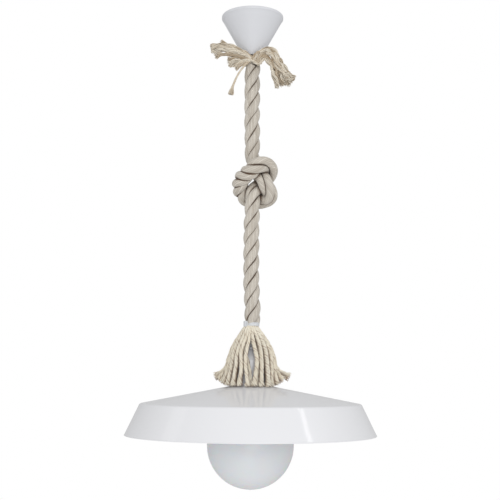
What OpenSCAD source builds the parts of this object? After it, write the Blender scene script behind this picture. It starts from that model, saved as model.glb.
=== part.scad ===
// Rope pendant lamp: ceiling cup, knotted three strand cotton rope, tassel,
// dish shade and opal globe bulb. Millimetres, +Z up, origin in the ceiling plane.

/* [View] */
// Which sub-part to show

/* [Shade] */
// Outside diameter of the shade at its bottom rim
shade_d = 348; // [260:1:450]
// Diameter of the sharp corner between the top cone and the band
shade_ridge_d = 307; // [220:1:400]
// Height of the flared band below the ridge
band_h = 43; // [25:1:70]
// Rise of the top cone from the ridge to the flat collar
cone_rise = 25; // [10:1:60]
// Sheet thickness of the shade
shade_wall = 1.0; // [0.8:0.1:2.5]
// Diameter of the folded hem at the bottom rim
hem_d = 2.8; // [2:0.1:5]

/* [Bulb] */
// Outside diameter of the opal globe
globe_d = 120; // [80:1:150]
// Length of the bulb from its centre contact to the bottom of the globe
bulb_len = 160; // [120:1:190]
// Wall of the glass globe
glass_wall = 1.6; // [1:0.1:3]

/* [Rope] */
// Rope diameter where it hangs straight
rope_d = 21; // [12:0.5:30]
// Rope diameter where it is squeezed in the knot
knot_rope_d = 18; // [10:0.2:24]
// Height of the cable tie below the ceiling
tie_drop = 450; // [380:1:600]

/* [Ceiling cup] */
// Outside diameter of the cup at the ceiling
cup_d = 89.8; // [70:0.2:130]
// Height of the cup
cup_h = 61; // [45:1:90]
// Wall of the cup
cup_wall = 2; // [1.2:0.1:4]
// Height of the lip around the cup's rim
cup_lip = 4.4; // [2:0.1:8]

/* [Ceiling bracket] */
// Length of the steel strap
strap_l = 74; // [50:1:80]
// Distance between the two slots
slot_pitch = 54; // [36:1:60]
// Width of each slot
slot_w = 4.4; // [3.5:0.1:6]
// Length of each slot, end to end
slot_l = 9; // [6:0.5:14]

/* [Lampholder] */
// Outside diameter of the lampholder body
holder_d = 41; // [36:0.5:50]
// Crest diameter of the thread that takes the shade ring
thread_d = 39.6; // [36:0.1:46]
// Length of the cap dome above the skirt
dome_h = 30; // [20:1:40]

/* [Hidden] */
$fn = 96;
rope_r = rope_d / 2;
knot_r = knot_rope_d / 2;
shade_r = shade_d / 2;
ridge_r = shade_ridge_d / 2;
cup_r = cup_d / 2;
z_rim = -603;                       // bottom edge of the shade
z_ridge = z_rim + band_h;           // ridge of the shade
z_top = z_ridge + cone_rise;        // flat collar of the shade
hole_r = 20.1;                      // hole in the shade
collar_r = 24;                      // flat collar around the hole
z_skirt = z_top + 20;               // top of the lampholder skirt
z_dome = z_skirt + dome_h;          // top of the lampholder cap
holder_r = holder_d / 2;
thread_r = thread_d / 2;
globe_r = globe_d / 2;
z_globe = z_rim - 13.7;             // centre of the globe
z_tip = z_globe - globe_r + bulb_len;
z_neck = z_top - 13;                // where the glass meets its collar
z_pivot = -70;                      // the rope bends here, under the yarn band
bore_r = 11.1;                      // outlet of the cup

// Rope route, hand set, x y z and radius, top to bottom
rope_route = [
  [0, 0, -79, rope_r], [0, 0, -92, rope_r], [0, 0, -110, rope_r], [0, 0, -130, rope_r], [0, 0, -150, rope_r],
  [0, 0, -165, rope_r], [0.5, 0, -177, 10.3], [0.5, 1, -189, 9.9], [0.5, 2, -200.5, 9.5], [1, 3, -212, knot_r],
  [2, 4, -217.5, knot_r], [4, 3.5, -223, knot_r], [6, 2.5, -228, knot_r], [8, 0, -233, knot_r], [11, -3.5, -238, knot_r],
  [14.5, -6.5, -241.5, knot_r], [17, -8, -244.5, knot_r], [20, -9, -249, knot_r], [22.5, -8, -254, knot_r], [24.5, -5.5, -259, knot_r],
  [25.5, -1.5, -264, knot_r], [25, 3, -268, knot_r], [22.5, 7, -270.5, knot_r], [18.5, 10.5, -272, knot_r], [14, 14, -272.5, knot_r],
  [9, 17, -272.5, knot_r], [3, 18, -272, knot_r], [-3, 18.5, -269.5, knot_r], [-8.5, 17.5, -266, knot_r], [-13, 15, -262, knot_r],
  [-15.5, 10.5, -257.5, knot_r], [-16.5, 5.5, -253, knot_r], [-16.5, 0.5, -249, knot_r], [-15.5, -4, -245, knot_r], [-12.5, -8.5, -241.5, knot_r],
  [-8, -13, -238.5, knot_r], [-3, -17, -235, knot_r], [2, -19, -231, knot_r], [7, -19.5, -227, knot_r], [12.5, -18, -224, knot_r],
  [18, -14.5, -222.5, knot_r], [23, -9.5, -223.5, knot_r], [26, -2.5, -226.5, knot_r], [26.5, 4.5, -230.5, knot_r], [25, 10, -235, knot_r],
  [22, 13.5, -239, knot_r], [18, 15, -242.5, knot_r], [13.5, 15, -246, knot_r], [10, 13, -250, knot_r], [7, 9, -254, knot_r],
  [4.5, 3.5, -258, knot_r], [3, 0, -262.5, knot_r], [2, -2, -268, knot_r], [1.5, -3, -273, knot_r], [1, -3, -279, 9.3],
  [1, -2.5, -285, 9.6], [0.5, -2, -296.5, 10], [0, -0.5, -308.5, 10.3], [0, 0, -320, rope_r], [0, 0, -340, rope_r],
  [0, 0, -360, rope_r], [0, 0, -385, rope_r], [1, 0, -410, rope_r], [2, 0, -428, rope_r], [2, 0, -440, rope_r],
  [2, 0, -446, 8.2], [2, 0, -453, 8.2]
];
hank_left_route = [
  [-16.2, -8.3, -68, 3], [-23, -12, -62, 4.5], [-32, -14, -52, 6], [-42, -14, -46, 6.5],
  [-50, -13, -47, 6.5], [-57, -12, -49, 7]
];
fan_left_route = [[-14.5, -9.5, -73.4, 2.2], [-20, -12, -76, 2.6], [-27, -13, -77, 3.5], [-34, -13, -78, 4.5]];
hank_right_route = [
  [16.2, -8.6, -68, 3], [23, -13, -61, 5], [31, -15, -59, 6.5], [38, -15, -66, 7],
  [43, -15, -76, 8], [47, -15, -86, 10], [51, -15, -96, 12], [52, -15, -102, 12]
];
tail_route = [[-8, -16.5, -75, 1.2], [-12, -17, -80, 1.2], [-18, -17, -87, 1.2], [-24, -17, -99, 1.2], [-27, -17, -108, 1.6], [-28, -17, -116, 3]];
flex_top_route = [
  [7, 0, -36, 2.5], [7, 0, -33, 2.5], [8.5, 0, -29.5, 2.5], [11.5, 0, -26, 2.5],
  [14.4, 0, -23.6, 2.5], [15.6, 0, -21.4, 2.5], [15.6, 0, -19.5, 2.5]
];

function unit(v) = v / norm(v);
function xyz(p) = [p[0], p[1], p[2]];
function tangents(p) = [for (i = [0 : len(p) - 1])
  unit(xyz(p[min(i + 1, len(p) - 1)]) - xyz(p[max(i - 1, 0)]))];
function carry(n, t) = unit(n - (n * t) * t);
function frames(t, i, out) = i == len(t) ? out : frames(t, i + 1, concat(out, [carry(out[i - 1], t[i])]));
function first_side(t) = carry(abs(t[1]) < 0.9 ? [0, 1, 0] : [1, 0, 0], t);

// A tube swept along a route of points with a radius each
module tube(route, sides = 10) {
  t = tangents(route);
  n = frames(t, 1, [first_side(t[0])]);
  k = len(route);
  points = [for (i = [0 : k - 1]) let (b = cross(t[i], n[i])) for (j = [0 : sides - 1])
    let (a = 360 * j / sides) xyz(route[i]) + route[i][3] * (cos(a) * n[i] + sin(a) * b)];
  sidesf = [for (i = [0 : k - 2]) for (j = [0 : sides - 1]) let (m = (j + 1) % sides)
    each [[i * sides + j, i * sides + m, (i + 1) * sides + m], [i * sides + j, (i + 1) * sides + m, (i + 1) * sides + j]]];
  bottom = [[for (j = [0 : sides - 1]) sides - 1 - j]];
  top = [[for (j = [0 : sides - 1]) (k - 1) * sides + j]];
  polyhedron(points = points, faces = [for (f = concat(sidesf, bottom, top)) [for (q = [len(f) - 1 : -1 : 0]) f[q]]], convexity = 10);
}

module ring(r_out, r_in, z0, z1) {
  translate([0, 0, z0]) difference() {
    cylinder(r = r_out, h = z1 - z0);
    translate([0, 0, -1]) cylinder(r = r_in, h = z1 - z0 + 2);
  }
}

// ---- ceiling side ----
module ceiling_bracket() {
  color("silver") difference() {
    translate([-strap_l / 2, -8, -1.5]) cube([strap_l, 16, 1.5]);
    for (s = [-1, 1]) translate([s * slot_pitch / 2, 0, -2]) {
      for (e = [-1, 1]) translate([e * (slot_l - slot_w) / 2, 0, 0]) cylinder(d = slot_w, h = 3);
      translate([-(slot_l - slot_w) / 2, -slot_w / 2, 0]) cube([slot_l - slot_w, slot_w, 3]);
    }
    translate([0, 0, -2]) cylinder(r = 2.5, h = 3);
  }
}
module ceiling_hook() {
  color("silver") {
    translate([0, 0, -9.5]) cylinder(r = 2, h = 9.5);
    translate([0, 0, -16]) rotate([90, 0, 0]) rotate([0, 0, -170]) rotate_extrude(angle = 260) translate([7, 0]) circle(r = 2, $fn = 32);
  }
}
module hook_nut() {
  color("silver") difference() {
    translate([0, 0, -5.5]) cylinder(d = 9.2, h = 4, $fn = 6);
    translate([0, 0, -6]) cylinder(r = 2, h = 5);
  }
}
module rope_clamp() {
  color("silver") {
    difference() {
      translate([0, 0, -48]) cylinder(r = 12.5, h = 14);
      translate([0, 0, -49]) cylinder(r = 10.9, h = 13);
      translate([7, 0, -37]) cylinder(r = 2.7, h = 4);
      translate([0, 0, -42]) rotate([-90, 0, 0]) cylinder(r = 1.5, h = 20);
    }
    translate([0, 0, -24.7]) rotate([0, 90, 0]) rotate_extrude() translate([5.5, 0]) circle(r = 1.7, $fn = 32);
    translate([0, 0, -34.5]) cylinder(r = 2, h = 3.6);
  }
}
module clamp_screw() {
  color("silver") {
    translate([0, 10.95, -42]) rotate([-90, 0, 0]) cylinder(r = 1.45, h = 1.6);
    difference() {
      translate([0, 12.55, -42]) rotate([-90, 0, 0]) cylinder(r = 2.8, h = 1.8);
      translate([-3, 13.7, -42.4]) cube([6, 2, 0.8]);
    }
  }
}
module terminal_block() {
  color("white") difference() {
    translate([9.4, -10, -13.5]) cube([12.4, 20, 12]);
    for (s = [-1, 1]) {
      translate([15.6, s * 5, -14]) cylinder(r = 2.2, h = 11);
      translate([17, s * 5, -7.5]) rotate([0, 90, 0]) cylinder(r = 1.6, h = 6);
    }
  }
}
module terminal_inserts() {
  color("gold") for (s = [-1, 1]) difference() {
    translate([15.6, s * 5, -12]) cylinder(r = 2.1, h = 8.9);
    translate([15.6, s * 5, -12.5]) cylinder(r = 1.2, h = 7.5);
  }
}
module terminal_screws() {
  color("silver") for (s = [-1, 1]) translate([17.75, s * 5, -7.5]) rotate([0, 90, 0]) difference() {
    cylinder(r = 1.5, h = 3);
    translate([-2.5, -0.3, 2.3]) cube([5, 0.6, 1]);
  }
}
module flex_top() { color("white") tube(flex_top_route, 8); }
module flex_top_cores() {
  color("brown") for (s = [-1, 1])
    tube([[15.6, s * 1.2, -19.5, 0.9], [15.6, s * 1.2, -19, 0.9], [15.6, s * 2, -17.6, 0.9], [15.6, s * 4.4, -15.2, 0.9], [15.6, s * 5, -13, 0.9], [15.6, s * 5, -10.5, 0.9]], 8);
}
module rope_top() {
  color("wheat") {
    translate([0, 0, -48]) cylinder(r = 10.8, h = 11.9);
    translate([0, 0, -61.2]) cylinder(r = rope_r, h = 13.2);
  }
}

// ---- cup and yarn tie ----
module ceiling_cup() {
  slope = (cup_r - 0.8 - bore_r - 1.5) / (cup_h - cup_lip);
  color("whitesmoke") rotate_extrude() polygon([
    [cup_r - 0.6, 0], [cup_r, -0.6], [cup_r, -cup_lip + 0.6], [cup_r - 0.8, -cup_lip],
    [bore_r + 1.5, -cup_h + 1], [bore_r + 1, -cup_h + 0.3], [bore_r + 0.3, -cup_h], [bore_r, -cup_h + 0.3], [bore_r, -cup_h + 3.5],
    [bore_r + 1.5 + slope * 3.2 - cup_wall * 1.15, -cup_h + 4.2], [cup_r - 0.8 - cup_wall * 1.15, -cup_lip - 0.2],
    [cup_r - cup_wall - 0.6, -cup_lip + 0.4], [cup_r - cup_wall - 0.6, 0]]);
}
module tie_band() {
  color("wheat") rotate_extrude() translate([0, 0]) polygon([
    [11.3, -62], [12.6, -61.6], [14.2, -62.6], [14.8, -64.5], [14.3, -66.2], [15, -68], [14.9, -70.5], [14, -72.2], [14.2, -73.6], [13, -75], [11.9, -74.6], [11.3, -70]]);
}
module tie_hank_left() { color("wheat") tube(hank_left_route, 10); }
module tie_fan_left() { color("wheat") tube(fan_left_route, 10); }
module tie_hank_right() { color("wheat") tube(hank_right_route, 10); }
module tie_tail() { color("wheat") tube(tail_route, 8); }

// ---- rope, cable tie, tassel ----
module rope_neck() { color("wheat") translate([0, 0, z_pivot]) sphere(r = 8.6); }
module rope_hanging() { color("wheat") tube(rope_route, 12); }
module cable_tie() {
  color("white") translate([2, 0, -tie_drop]) {
    difference() {
      translate([0, 0, -2.4]) cylinder(r = 9.6, h = 4.8);
      translate([0, 0, -3]) cylinder(r = 8.4, h = 6);
    }
    rotate([0, 0, -150]) translate([9, -3, -3.3]) cube([4.6, 6, 7.8]);
  }
}
module tassel() {
  color("wheat") rotate_extrude() polygon([
    [3.6, -453.4], [9.4, -453.4], [19, -469], [29, -486], [35, -503], [40, -520], [41, -530], [40, -535.8],
    [34, -535.8], [29.5, -515], [26, -500], [22.5, -484], [14, -470], [7, -460], [3.6, -457]]);
}
module flex_bottom() { color("white") translate([0, 0, -488]) cylinder(r = 3, h = 488 - 453.2); }

// ---- lampholder ----
module cord_grip() {
  color("white") difference() {
    union() {
      translate([0, 0, z_dome - 8]) cylinder(r = 5, h = 16);
      translate([0, 0, z_dome]) cylinder(r = 7, h = 4);
    }
    translate([0, 0, z_dome - 9]) cylinder(r = 3.05, h = 18);
    translate([3, 0, z_dome + 6]) rotate([0, 90, 0]) cylinder(r = 1.25, h = 6);
  }
}
module grip_screw() {
  color("silver") {
    translate([3.1, 0, z_dome + 6]) rotate([0, 90, 0]) cylinder(r = 1.2, h = 2);
    translate([5.05, 0, z_dome + 6]) rotate([0, 90, 0]) cylinder(r = 1.9, h = 1.5);
  }
}
module holder_cap() {
  color("white") difference() {
    union() {
      translate([0, 0, z_skirt]) cylinder(r = holder_r, h = dome_h - 16);
      translate([0, 0, z_dome - 16]) cylinder(r1 = holder_r, r2 = holder_r - 3.5, h = 6);
      translate([0, 0, z_dome - 10]) cylinder(r1 = holder_r - 3.5, r2 = 9, h = 10);
    }
    translate([0, 0, z_skirt - 1]) cylinder(r = holder_r - 2, h = dome_h - 15);
    translate([0, 0, z_dome - 16]) cylinder(r1 = holder_r - 2, r2 = holder_r - 5.5, h = 6);
    translate([0, 0, z_dome - 10.01]) cylinder(r1 = holder_r - 5.5, r2 = 9, h = 7.5);
    translate([0, 0, z_dome - 9]) cylinder(r = 5.05, h = 20);
  }
}
module holder_skirt() {
  color("white") difference() {
    union() {
      translate([0, 0, z_top + 4]) cylinder(r = holder_r, h = z_skirt - z_top - 4);
      translate([0, 0, z_top]) cylinder(r = 23, h = 4);
      translate([0, 0, z_top - 10]) cylinder(r = thread_r - 0.8, h = 10);
      for (k = [0 : 2]) translate([0, 0, z_top - 9.5 + 3 * k]) {
        cylinder(r1 = thread_r - 0.8, r2 = thread_r, h = 0.8);
        translate([0, 0, 0.8]) cylinder(r = thread_r, h = 0.6);
        translate([0, 0, 1.4]) cylinder(r1 = thread_r, r2 = thread_r - 0.8, h = 0.8);
      }
    }
    translate([0, 0, z_top - 11]) cylinder(r = 15.6, h = z_skirt - z_top + 12);
  }
}
module holder_insert() {
  color("ivory") difference() {
    translate([0, 0, z_skirt - 1]) cylinder(r = 15.5, h = 9);
    for (s = [-1, 1]) translate([s * 9, 0, z_skirt + 4]) cylinder(r = 2.1, h = 6);
  }
}
module screw_shell() {
  color("gold") union() {
    ring(15.2, 13.4, z_skirt - 1.6, z_skirt - 1);
    ring(14, 13.4, z_top - 4.6, z_skirt - 1.6);
    for (k = [0 : 4]) translate([0, 0, z_top - 2.5 + 3.63 * k]) rotate_extrude() translate([14, 0]) circle(r = 0.7, $fn = 24);
  }
}
module centre_contact() {
  color("gold") {
    translate([-2, -2.5, z_tip + 0.1]) cube([4, 5, 0.6]);
    translate([1.4, -2.5, z_tip + 0.1]) cube([0.6, 5, z_skirt - 1 - z_tip - 0.1]);
  }
}
module side_contact() {
  color("gold") translate([-12.6, -2, z_skirt - 4.2]) cube([0.5, 4, 3.2]);
}
module holder_terminals() {
  color("silver") for (s = [-1, 1]) translate([s * 9, 0, z_skirt + 4]) difference() {
    cylinder(r = 2, h = 5.2);
    translate([-3, -0.35, 4.4]) cube([6, 0.7, 1]);
  }
}

// ---- shade ----
module shade() {
  k = cone_rise / (ridge_r - collar_r);
  b = (shade_r - ridge_r) / band_h;
  w = shade_wall;
  color("white") union() {
    rotate_extrude($fn = 180) polygon([
      [hole_r, z_top], [collar_r, z_top], [ridge_r - 4, z_ridge + 4 * k], [ridge_r - 2, z_ridge + 0.25], [ridge_r - 0.3, z_ridge - 0.9],
      [ridge_r + 0.6, z_ridge - 2.4], [ridge_r + b * 4.5, z_ridge - 4.5], [shade_r - 1.3 * b - 0.1, z_rim + 1.3],
      [shade_r - 1.3 * b - 0.1 - w * 1.1, z_rim + 1.3], [ridge_r + b * 4.5 - w * 1.1, z_ridge - 4.5 - 0.2],
      [ridge_r - 0.9, z_ridge - 2.5], [ridge_r - 2.4, z_ridge - 1.3],
      [ridge_r - 4, z_ridge + 4 * k - w], [collar_r, z_top - w], [hole_r, z_top - w]]);
    translate([0, 0, z_rim + hem_d / 2]) rotate_extrude($fn = 180) translate([shade_r - hem_d / 2, 0]) circle(d = hem_d, $fn = 32);
  }
}
module ring_washer() { color("white") ring(23.6, 19.9, z_top - shade_wall - 1, z_top - shade_wall); }
module shade_ring() {
  color("white") difference() {
    translate([0, 0, z_top - shade_wall - 5.5]) cylinder(r = 27, h = 4.5);
    translate([0, 0, z_top - shade_wall - 6]) cylinder(r = 19.88, h = 6);
    for (a = [0 : 30 : 330]) rotate([0, 0, a]) translate([28.2, 0, z_top - shade_wall - 6]) cylinder(r = 2, h = 6, $fn = 24);
  }
}

// ---- bulb ----
module bulb_tip() { color("silver") translate([0, 0, z_tip - 1.6]) cylinder(r1 = 5, r2 = 3.6, h = 1.6); }
module bulb_insulator() {
  color("black") difference() {
    translate([0, 0, z_tip - 5.4]) cylinder(r1 = 11.6, r2 = 6.4, h = 4.4);
    translate([0, 0, z_tip - 1.65]) cylinder(r = 5.1, h = 2);
  }
}
module bulb_cap() {
  color("silver") difference() {
    union() {
      translate([0, 0, z_tip - 25]) cylinder(r = 12.3, h = 19.6);
      for (k = [0 : 4]) translate([0, 0, z_tip - 22.5 + 3.63 * k]) rotate_extrude() translate([12.2, 0]) circle(r = 0.85, $fn = 24);
    }
    translate([0, 0, z_tip - 25.5]) cylinder(r = 11.7, h = 18.5);
  }
}
module bulb_collar() {
  color("white") difference() {
    union() {
      translate([0, 0, z_tip - 26]) cylinder(r = 13.6, h = 2.6);
      translate([0, 0, z_neck]) cylinder(r1 = 16.5, r2 = 13.6, h = z_tip - 26 - z_neck);
    }
    translate([0, 0, z_neck - 1]) cylinder(r = 11.9, h = z_tip - z_neck + 1);
    translate([0, 0, z_tip - 25.3]) cylinder(r = 13.1, h = 8);
  }
}
module bulb_globe() {
  color("white") difference() {
    union() {
      translate([0, 0, z_globe]) sphere(r = globe_r, $fn = 128);
      translate([0, 0, z_globe + 40]) cylinder(r = 16.5, h = z_neck - z_globe - 40);
      translate([0, 0, z_globe + 55]) cylinder(r1 = 24, r2 = 16.5, h = 4.6);
      translate([0, 0, z_globe - globe_r - 0.8]) cylinder(r1 = 0.8, r2 = 2.4, h = 1.2);
    }
    translate([0, 0, z_globe]) sphere(r = globe_r - glass_wall, $fn = 128);
    translate([0, 0, z_globe + 30]) cylinder(r = 16.5 - glass_wall, h = 60);
  }
}
module bulb_led_post() {
  color("silver") {
    translate([0, 0, z_neck - 30]) cylinder(r = 6, h = 38);
    translate([0, 0, z_neck - 32]) cylinder(r = 14, h = 2);
    translate([0, 0, z_neck + 3]) cylinder(r = 11.6, h = 3);
  }
}

ceiling_bracket();
ceiling_hook();
hook_nut();
rope_clamp();
clamp_screw();
terminal_block();
terminal_inserts();
terminal_screws();
flex_top();
flex_top_cores();
rope_top();
ceiling_cup();
tie_band();
tie_hank_left();
tie_fan_left();
tie_hank_right();
tie_tail();
rope_neck();
rope_hanging();
cable_tie();
tassel();
flex_bottom();
cord_grip();
grip_screw();
holder_cap();
holder_skirt();
holder_insert();
screw_shell();
centre_contact();
side_contact();
holder_terminals();
shade();
ring_washer();
shade_ring();
bulb_tip();
bulb_insulator();
bulb_cap();
bulb_collar();
bulb_globe();
bulb_led_post();
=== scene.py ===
import math
import bpy
import numpy as np
from mathutils import Matrix, Vector


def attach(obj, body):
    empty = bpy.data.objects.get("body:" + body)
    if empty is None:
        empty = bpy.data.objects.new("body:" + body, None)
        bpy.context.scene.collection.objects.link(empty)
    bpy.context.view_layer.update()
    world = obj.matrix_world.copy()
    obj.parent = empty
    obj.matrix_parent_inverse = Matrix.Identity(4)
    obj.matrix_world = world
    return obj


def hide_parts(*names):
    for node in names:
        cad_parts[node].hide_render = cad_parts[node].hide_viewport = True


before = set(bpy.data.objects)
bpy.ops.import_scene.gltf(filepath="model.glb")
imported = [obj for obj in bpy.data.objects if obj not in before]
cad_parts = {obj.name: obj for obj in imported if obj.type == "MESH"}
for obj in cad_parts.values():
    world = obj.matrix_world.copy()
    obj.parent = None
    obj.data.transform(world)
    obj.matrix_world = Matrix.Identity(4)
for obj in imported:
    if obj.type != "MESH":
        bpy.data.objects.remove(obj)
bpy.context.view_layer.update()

MM = 0.001
rng = np.random.default_rng(11)

# ------------------------------------------------------------------ camera
cam_data = bpy.data.cameras.new("camera")
cam_data.sensor_fit = "HORIZONTAL"
cam_data.sensor_width = 36.0
cam_data.lens = 68.29
cam_data.clip_end = 50
camera = bpy.data.objects.new("camera", cam_data)
bpy.context.scene.collection.objects.link(camera)
camera.matrix_world = (
    Matrix.Translation((-0.0020, -1.336, -0.5186))
    @ Matrix.Rotation(math.radians(90 + 7.42), 4, "X")
    @ Matrix.Rotation(math.radians(0.31), 4, "Z")
)
bpy.context.scene.camera = camera
bpy.context.scene.view_settings.view_transform = "Standard"


# ------------------------------------------------------------------ mesh helpers
def build(name, verts, quads, caps=(), tone=None, painted_shade=None, smooth=True):
    """A mesh object from points in metres and quads; each yarn's tone and the painted shade of grooves and hollows are
    per-point floats.
    """
    verts = np.asarray(verts, np.float64).reshape(-1, 3)
    quads = np.asarray(quads, np.int64).reshape(-1, 4)
    me = bpy.data.meshes.new(name)
    caps = [list(map(int, c)) for c in caps]
    n_loops = quads.size + sum(len(c) for c in caps)
    me.vertices.add(len(verts))
    me.vertices.foreach_set("co", verts.ravel())
    me.loops.add(n_loops)
    loops = np.concatenate([quads.ravel()] + [np.asarray(c, np.int64) for c in caps]) if caps else quads.ravel()
    me.loops.foreach_set("vertex_index", loops.astype(np.int32))
    sizes = np.concatenate([np.full(len(quads), 4, np.int32), np.asarray([len(c) for c in caps], np.int32)])
    starts = np.concatenate([[0], np.cumsum(sizes)[:-1]]).astype(np.int32)
    me.polygons.add(len(sizes))
    me.polygons.foreach_set("loop_start", starts)
    me.update(calc_edges=True)
    me.validate()
    if smooth:
        me.polygons.foreach_set("use_smooth", np.ones(len(me.polygons), bool))
    for key, val in (("tone", tone), ("painted_shade", painted_shade)):
        if val is not None:
            a = me.attributes.new(key, "FLOAT", "POINT")
            a.data.foreach_set("value", np.asarray(val, np.float32).ravel())
    ob = bpy.data.objects.new(name, me)
    bpy.context.scene.collection.objects.link(ob)
    return ob


def grid_quads(rows, cols, base=0):
    """Quads of a closed tube of rows rings with cols points each."""
    i = np.arange(rows - 1)[:, None]
    j = np.arange(cols)[None]
    k = (j + 1) % cols
    a = i * cols + j
    b = i * cols + k
    return (np.stack([a, b, b + cols, a + cols], axis=-1) + base).reshape(-1, 4)


def unit(v):
    return v / np.maximum(np.linalg.norm(v, axis=-1, keepdims=True), 1e-12)


def spline(points, step):
    """A smooth curve through given points (any columns after xyz ride along), resampled evenly."""
    P = np.asarray(points, float)
    Q = np.vstack([2 * P[0] - P[1], P, 2 * P[-1] - P[-2]])
    out = []
    for i in range(1, len(Q) - 2):
        t = (np.arange(16) / 16)[:, None]
        a, b, c, d = Q[i - 1], Q[i], Q[i + 1], Q[i + 2]
        out.append(0.5 * (2 * b + (c - a) * t + (2 * a - 5 * b + 4 * c - d) * t**2 + (3 * b - a - 3 * c + d) * t**3))
    C = np.vstack(out + [P[-1:]])
    s = np.r_[0, np.cumsum(np.linalg.norm(np.diff(C[:, :3], axis=0), axis=1))]
    n = max(4, int(round(s[-1] / step)))
    u = np.linspace(0, s[-1], n + 1)
    return np.stack([np.interp(u, s, C[:, k]) for k in range(C.shape[1])], axis=1), u


def smooth_line(C, times):
    C = C.copy()
    for _ in range(times):
        C[1:-1] = 0.25 * C[:-2] + 0.5 * C[1:-1] + 0.25 * C[2:]
    return C


def frames_of(C):
    """Tangent, normal and binormal that don't spin along a curve."""
    T = unit(np.gradient(C, axis=0))
    N = np.zeros_like(T)
    ref = np.array([0, 1.0, 0]) if abs(T[0][1]) < 0.9 else np.array([1.0, 0, 0])
    n = ref - ref @ T[0] * T[0]
    for i, t in enumerate(T):
        n = n - (n @ t) * t
        n = n / np.linalg.norm(n)
        N[i] = n
    return T, N, np.cross(T, N)


def tubes(name, lines, sides=6, tones=None, painted_shades=None):
    """Many tubes in one mesh; each line is (points in metres, radii in metres)."""
    V, Q, K, TN, SHADE_PAINT = [], [], [], [], []
    base = 0
    ang = 2 * np.pi * np.arange(sides) / sides
    for k, (pts, rad) in enumerate(lines):
        pts = np.asarray(pts, float)
        rad = np.broadcast_to(np.asarray(rad, float), (len(pts),))
        T, N, B = frames_of(pts)
        ring = pts[:, None] + rad[:, None, None] * (
            np.cos(ang)[None, :, None] * N[:, None] + np.sin(ang)[None, :, None] * B[:, None]
        )
        V.append(ring.reshape(-1, 3))
        Q.append(grid_quads(len(pts), sides, base))
        K.append([base + sides - 1 - j for j in range(sides)])
        K.append([base + (len(pts) - 1) * sides + j for j in range(sides)])
        tone = 0.5 if tones is None else tones[k]
        TN.append(np.full(len(pts) * sides, tone))
        SHADE_PAINT.append(np.repeat(np.ones(len(pts)) if painted_shades is None else np.asarray(painted_shades[k]), sides))
        base += len(pts) * sides
    return build(name, np.vstack(V), np.vstack(Q), K, np.concatenate(TN), np.concatenate(SHADE_PAINT))


def bundle(route, count, thread_r, turns_per_m, seed, spread_end=1.0, jitter=0.0004, step=1.6, ends=0.006, squash=1.0, hand=-1, crimp=0.0, centre=None, laid=0):
    """Threads of a loosely twisted yarn along a route of x, y, z, radius in mm. Returns tube lines and tones."""
    r = np.random.default_rng(seed)
    C, s = spline(np.asarray(route, float) * MM, step * MM)
    pts, rad = C[:, :3], C[:, 3]
    T, N, B = frames_of(pts)
    L = s[-1]
    out, tones, thread_shade = [], [], []
    golden = math.pi * (3 - math.sqrt(5))
    for i in range(count):
        rr = math.sqrt((i + 0.5) / count)
        a0 = i * golden + r.normal(0, 0.15)
        a = a0 + hand * 2 * math.pi * turns_per_m * s
        end = 1 + (spread_end - 1) * np.clip((s - (L - 0.016)) / 0.016, 0, 1) ** 1.5
        R = np.maximum(rad - thread_r * 0.6, 0.0002) * rr * end
        wob = np.cumsum(r.normal(0, 1, (len(s), 2)), axis=0)
        wob = smooth_line(wob, 30) if len(s) > 6 else wob
        wob = wob - wob[0]
        wob = wob / (np.abs(wob).max() + 1e-9) * jitter * (0.3 + s[:, None] / L)
        if crimp:
            lam = r.uniform(0.008, 0.014)
            grow = np.clip(s / 0.02, 0, 1) * crimp
            ph = r.uniform(0, 2 * math.pi, 3)
            warp = s + 0.002 * np.sin(2 * np.pi * s / 0.031 + ph[2])
            wob = wob + np.column_stack([grow * np.sin(2 * np.pi * warp / lam + ph[0]), grow * np.sin(2 * np.pi * warp / (lam * 1.13) + ph[1])])
        p = pts + (R * np.cos(a) + wob[:, 0])[:, None] * N * squash + (R * np.sin(a) + wob[:, 1])[:, None] * B
        keep = len(s) - int(r.uniform(0, ends) / (step * MM))
        keep = max(6, keep)
        tr = thread_r * r.uniform(0.85, 1.15) * np.ones(keep)
        tr[-1] *= 0.45
        tr[-2] *= 0.85
        out.append((p[:keep], tr))
        tones.append(float(np.clip(r.normal(0.5, 0.28), 0, 1)))
        # painted shade: threads nearer a yarn's middle are darker
        if centre is None:
            thread_shade.append(np.full(keep, 0.3 + 0.7 * rr**1.5))
        else:
            # threads on a yarn's sides and back lie in its shadow
            face = unit((p - pts)[:keep])
            away = unit((pts - np.asarray(centre))[:keep] * np.array([1.0, 1.0, 0.0]))
            f = (face * away).sum(1) * rr
            shade_in = 0.22 + 0.78 * np.clip((f + 0.15) / 0.5, 0, 1)
            if laid:
                # the yarn is laid from a few twisted strands: painted shade darkens the seams between them
                shade_in = shade_in * (0.3 + 0.7 * min(1.0, 1.7 * abs(math.cos(laid * i * golden / 2)) ** 0.9))
            thread_shade.append(shade_in)
    return out, tones, thread_shade


def lathe(name, profile, sides=128, close=True):
    """A body of revolution about Z from an outline of radius and height in mm. A closed outline makes a solid wall."""
    P = np.asarray(profile, float) * MM
    ang = 2 * np.pi * np.arange(sides) / sides
    V = np.stack([P[:, 0:1] * np.cos(ang), P[:, 0:1] * np.sin(ang), np.repeat(P[:, 1:2], sides, axis=1)], axis=-1)
    rows = len(P)
    q = grid_quads(rows, sides)
    if close:
        j = np.arange(sides)
        k = (j + 1) % sides
        a = (rows - 1) * sides
        q = np.vstack([q, np.stack([a + j, a + k, k, j], axis=-1)])
    ob = build(name, V.reshape(-1, 3), q)
    return ob


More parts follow.
